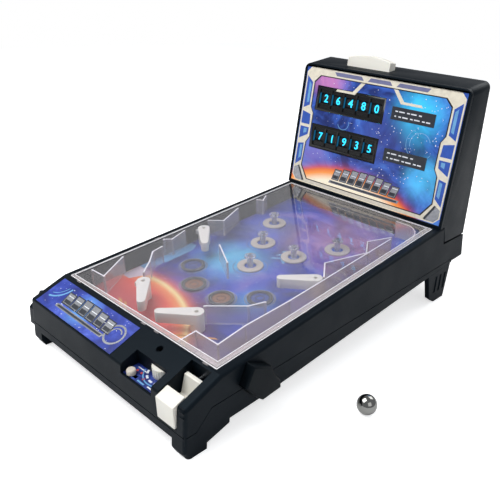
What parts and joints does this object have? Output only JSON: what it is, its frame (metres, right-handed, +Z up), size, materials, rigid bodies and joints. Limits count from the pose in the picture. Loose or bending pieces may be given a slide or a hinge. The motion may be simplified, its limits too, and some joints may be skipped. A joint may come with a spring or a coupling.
{
  "type": "tabletop pinball game",
  "caption": "Tabletop pinball game with a sloping play well under a clear cover, flipper buttons, pull launcher, upright score box and a loose steel ball.",
  "frame": {"origin": "on the table, under the middle of the case", "axes": "+X to the right of the player, +Y away from the player, +Z up"},
  "size_m": [0.3232, 0.4675, 0.283],
  "materials": {
    "case_plastic": "fine moulded grain",
    "button_plastic": "fine moulded grain",
    "clear_plastic": "clear polystyrene",
    "white_plastic": "moulded satin",
    "inner_plastic": "plain moulded",
    "cream_plastic": "moulded satin",
    "printed_panel": "printed film",
    "dish_plastic": "polished",
    "lens_plastic": "translucent",
    "steel": "bright",
    "cell_sleeve": "shrink sleeve",
    "speaker_cone": "paper cone and steel frame",
    "board": "printed circuit board",
    "drum_plastic": "black with lit numbers"
  },
  "bodies": {
    "case": {"apron_panel": "printed_panel", "backbox_front": "case_plastic", "backbox_rear": "case_plastic", "backglass": "printed_panel", "batteries": "cell_sleeve", "battery_contacts": "steel", "bumper_posts": "clear_plastic", "bumper_rings": "cream_plastic", "bumper_screws": "steel", "case_screws": "steel", "circuit_board": "board", "clear_cover": "clear_plastic", "dish_bezels": "dish_plastic", "dish_lenses": "lens_plastic", "flipper_guides": "clear_plastic", "label_plates": "printed_panel", "lamps": "lens_plastic", "launcher_spring": "steel", "left_guides": "clear_plastic", "left_return_spring": "steel", "legend_panel": "printed_panel", "lower_case": "case_plastic", "playfield_panel": "printed_panel", "rear_legs": "case_plastic", "reset_spring": "steel", "right_guides": "clear_plastic", "right_return_spring": "steel", "score_axles": "steel", "score_frame": "case_plastic", "speaker": "speaker_cone", "upper_case": "case_plastic"},
    "left_button": {"left_flipper_button": "button_plastic", "left_push_bar": "inner_plastic"},
    "right_button": {"right_flipper_button": "button_plastic", "right_push_bar": "inner_plastic"},
    "launcher": {"launcher_lever": "white_plastic", "launcher_rod": "steel"},
    "selector": {"selector_wheel": "white_plastic"},
    "switch": {"switch_knob": "white_plastic"},
    "reset": {"reset_button": "white_plastic"},
    "door": {"battery_door": "case_plastic"},
    "loose_ball": {"ball": "steel"},
    "lower_left": {"lower_left_flipper": "white_plastic", "lower_left_crank": "inner_plastic"},
    "lower_right": {"lower_right_flipper": "white_plastic", "lower_right_crank": "inner_plastic"},
    "upper_left": {"upper_left_flipper": "white_plastic", "upper_left_crank": "inner_plastic"},
    "upper_right": {"upper_right_flipper": "white_plastic", "upper_right_crank": "inner_plastic"},
    "upper_score_1": {"upper_drum_1": "drum_plastic"},
    "upper_score_2": {"upper_drum_2": "drum_plastic"},
    "upper_score_3": {"upper_drum_3": "drum_plastic"},
    "upper_score_4": {"upper_drum_4": "drum_plastic"},
    "upper_score_5": {"upper_drum_5": "drum_plastic"},
    "lower_score_1": {"lower_drum_1": "drum_plastic"},
    "lower_score_2": {"lower_drum_2": "drum_plastic"},
    "lower_score_3": {"lower_drum_3": "drum_plastic"},
    "lower_score_4": {"lower_drum_4": "drum_plastic"},
    "lower_score_5": {"lower_drum_5": "drum_plastic"}
  },
  "joints": [
    {"name": "left_button_press", "type": "slide", "parent": "case", "child": "left_button", "axis": [1, 0, 0], "range_m": [0, 0.006], "stiffness_N_per_m": 300, "springref_m": -0.004, "deforming": ["left_return_spring"]},
    {"name": "right_button_press", "type": "slide", "parent": "case", "child": "right_button", "axis": [-1, 0, 0], "range_m": [0, 0.006], "stiffness_N_per_m": 300, "springref_m": -0.004, "deforming": ["right_return_spring"]},
    {"name": "lower_left_flip", "type": "hinge", "parent": "case", "child": "lower_left", "pos_m": [-0.04902, -0.14541, 0.05695], "axis": [0, -0.1037, 0.9946], "range_deg": [0, 50]},
    {"name": "lower_right_flip", "type": "hinge", "parent": "case", "child": "lower_right", "pos_m": [0.03397, -0.14541, 0.05695], "axis": [0, 0.1037, -0.9946], "range_deg": [0, 50]},
    {"name": "upper_left_flip", "type": "hinge", "parent": "case", "child": "upper_left", "pos_m": [-0.095, -0.02316, 0.06969], "axis": [0, -0.1037, 0.9946], "range_deg": [0, 50]},
    {"name": "upper_right_flip", "type": "hinge", "parent": "case", "child": "upper_right", "pos_m": [0.078, -0.02316, 0.06969], "axis": [0, 0.1037, -0.9946], "range_deg": [0, 50]},
    {"name": "launcher_pull", "type": "slide", "parent": "case", "child": "launcher", "axis": [0, -0.9946, -0.1037], "range_m": [0, 0.018], "stiffness_N_per_m": 150, "springref_m": -0.008, "deforming": ["launcher_spring"]},
    {"name": "selector_turn", "type": "hinge", "parent": "case", "child": "selector", "pos_m": [0.063, -0.20777, 0.04844], "axis": [0, -0.1037, 0.9946], "range_deg": [-40, 40]},
    {"name": "switch_slide", "type": "slide", "parent": "case", "child": "switch", "axis": [1, 0, 0], "range_m": [0, 0.006]},
    {"name": "reset_press", "type": "slide", "parent": "case", "child": "reset", "axis": [0, -0.108, -0.9942], "range_m": [0, 0.004], "stiffness_N_per_m": 400, "springref_m": -0.003, "deforming": ["reset_spring"]},
    {"name": "door_lift_off", "type": "slide", "parent": "case", "child": "door", "axis": [0, 0.0804, -0.9968], "range_m": [0, 0.015]},
    {"name": "upper_score_1_turn", "type": "hinge", "parent": "case", "child": "upper_score_1", "pos_m": [-0.0805, 0.19463, 0.21961], "axis": [1, 0, 0], "continuous": true},
    {"name": "upper_score_2_turn", "type": "hinge", "parent": "case", "child": "upper_score_2", "pos_m": [-0.0605, 0.19463, 0.21961], "axis": [1, 0, 0], "continuous": true},
    {"name": "upper_score_3_turn", "type": "hinge", "parent": "case", "child": "upper_score_3", "pos_m": [-0.0405, 0.19463, 0.21961], "axis": [1, 0, 0], "continuous": true},
    {"name": "upper_score_4_turn", "type": "hinge", "parent": "case", "child": "upper_score_4", "pos_m": [-0.0205, 0.19463, 0.21961], "axis": [1, 0, 0], "continuous": true},
    {"name": "upper_score_5_turn", "type": "hinge", "parent": "case", "child": "upper_score_5", "pos_m": [-0.0005, 0.19463, 0.21961], "axis": [1, 0, 0], "continuous": true},
    {"name": "lower_score_1_turn", "type": "hinge", "parent": "case", "child": "lower_score_1", "pos_m": [-0.0805, 0.18917, 0.1694], "axis": [1, 0, 0], "continuous": true},
    {"name": "lower_score_2_turn", "type": "hinge", "parent": "case", "child": "lower_score_2", "pos_m": [-0.0605, 0.18917, 0.1694], "axis": [1, 0, 0], "continuous": true},
    {"name": "lower_score_3_turn", "type": "hinge", "parent": "case", "child": "lower_score_3", "pos_m": [-0.0405, 0.18917, 0.1694], "axis": [1, 0, 0], "continuous": true},
    {"name": "lower_score_4_turn", "type": "hinge", "parent": "case", "child": "lower_score_4", "pos_m": [-0.0205, 0.18917, 0.1694], "axis": [1, 0, 0], "continuous": true},
    {"name": "lower_score_5_turn", "type": "hinge", "parent": "case", "child": "lower_score_5", "pos_m": [-0.0005, 0.18917, 0.1694], "axis": [1, 0, 0], "continuous": true},
    {"name": "ball_roll", "type": "slide", "parent": "case", "child": "loose_ball", "axis": [0, 1, 0], "range_m": [-0.06, 0.06]}
  ],
  "couplings": [
    {"joint": "lower_left_flip", "follows": "left_button_press", "rad_per_m": 145.44},
    {"joint": "lower_right_flip", "follows": "right_button_press", "rad_per_m": 145.44},
    {"joint": "upper_left_flip", "follows": "left_button_press", "rad_per_m": 145.44},
    {"joint": "upper_right_flip", "follows": "right_button_press", "rad_per_m": 145.44}
  ]
}
